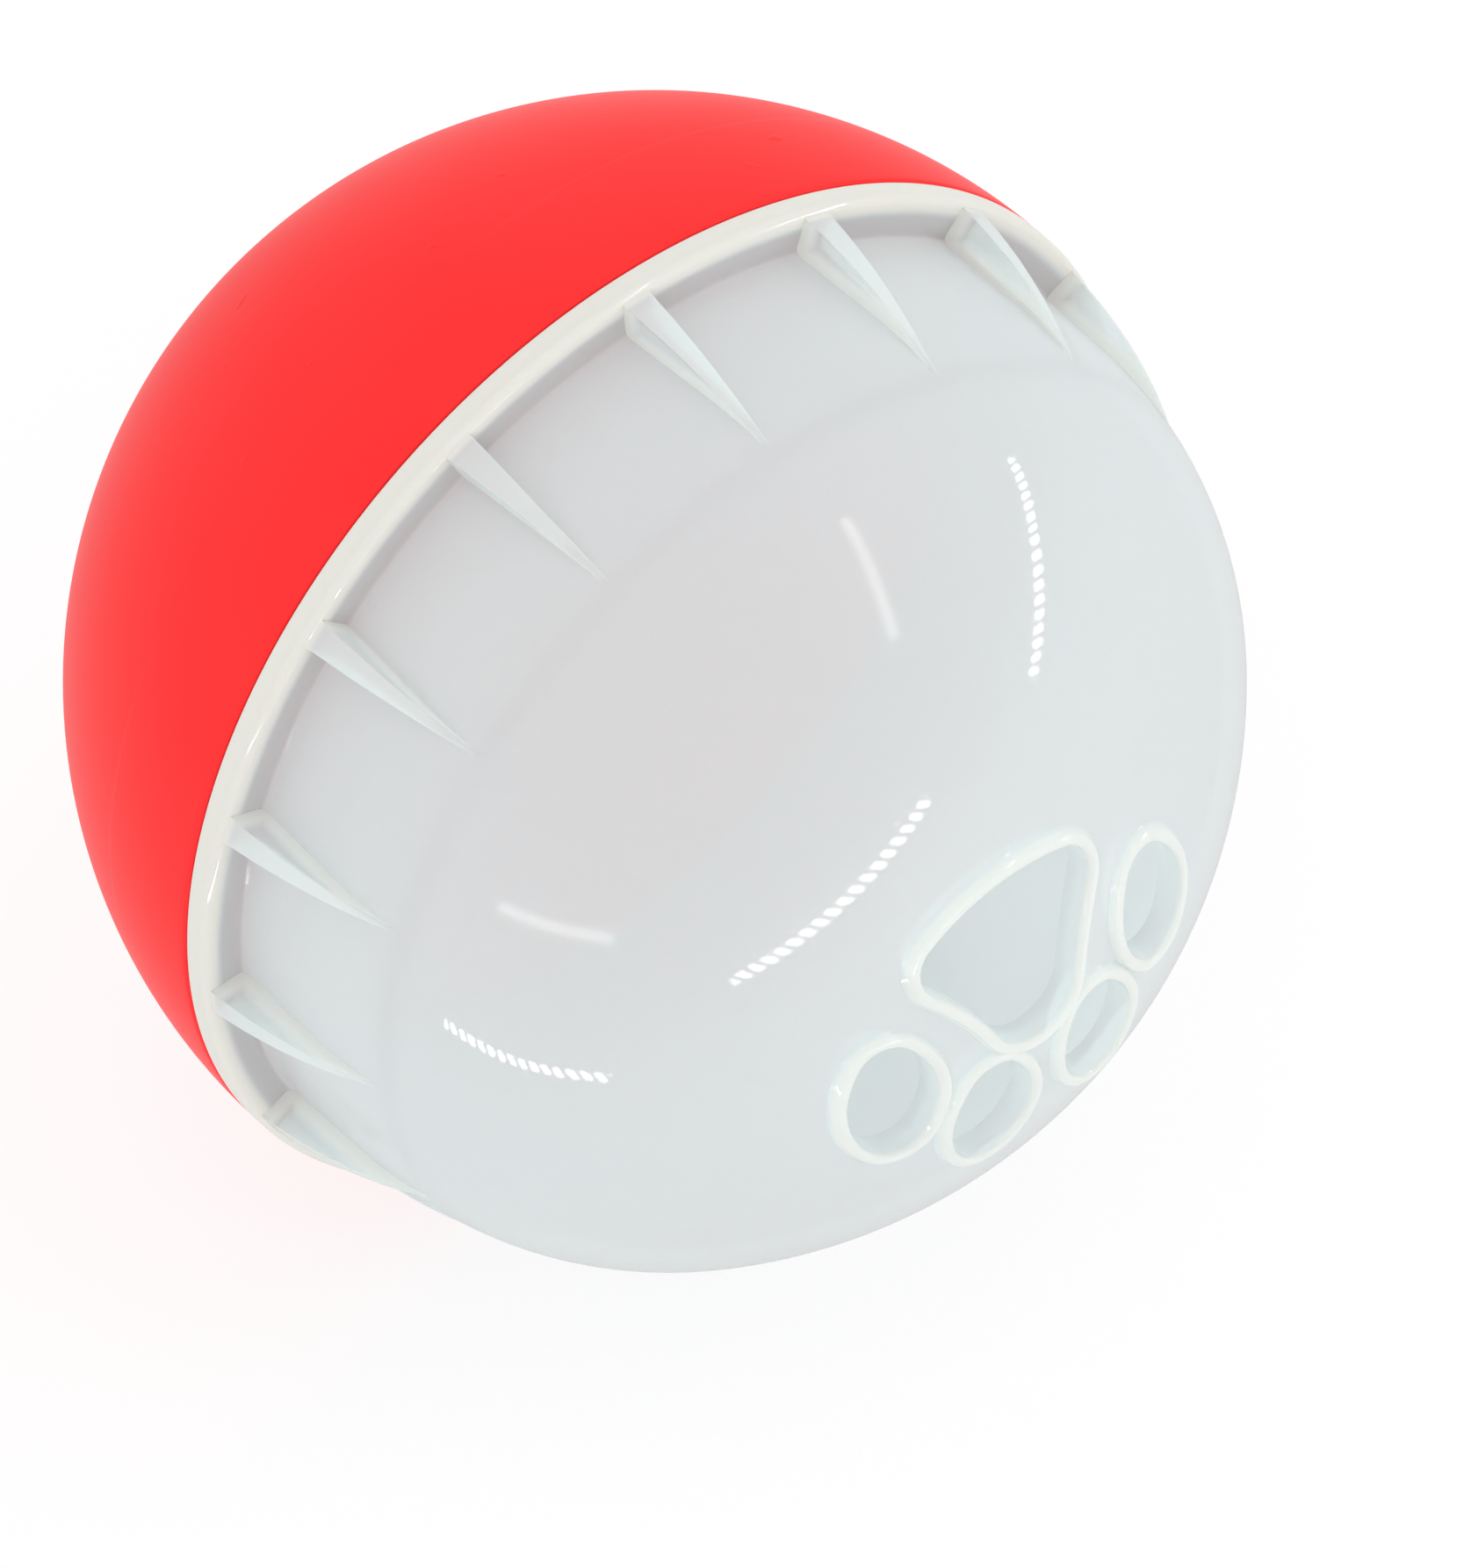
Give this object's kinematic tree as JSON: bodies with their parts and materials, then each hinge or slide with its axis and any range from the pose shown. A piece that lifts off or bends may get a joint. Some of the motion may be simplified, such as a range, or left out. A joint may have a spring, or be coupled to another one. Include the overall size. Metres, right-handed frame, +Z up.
{
  "type": "treat ball",
  "caption": "Hollow pet treat ball that opens at its middle, with a plain coloured dome and a milky dome with a ribbed grip recess and paw-shaped openings.",
  "frame": {"origin": "the point on the floor under the middle of the ball, which rests there; the middle of the ball is 38 mm above it", "axes": "+Z up; the ball's own axis lies level along Y, with the pole of the red half at +Y and the paw of openings at -Y; +X to the right as seen from the paw's side"},
  "size_m": [0.076, 0.0766, 0.076],
  "materials": {
    "red_plastic": "opaque bright red moulded plastic with a soft sheen",
    "milky_plastic": "translucent milky moulded plastic, smooth and glossy outside"
  },
  "bodies": {
    "clear_half": {"clear_shell": "milky_plastic"},
    "red_half": {"red_shell": "red_plastic"}
  },
  "joints": [
    {"name": "pull_apart", "type": "slide", "parent": "clear_half", "child": "red_half", "axis": [0, 1, 0], "range_m": [0, 0.06]}
  ]
}
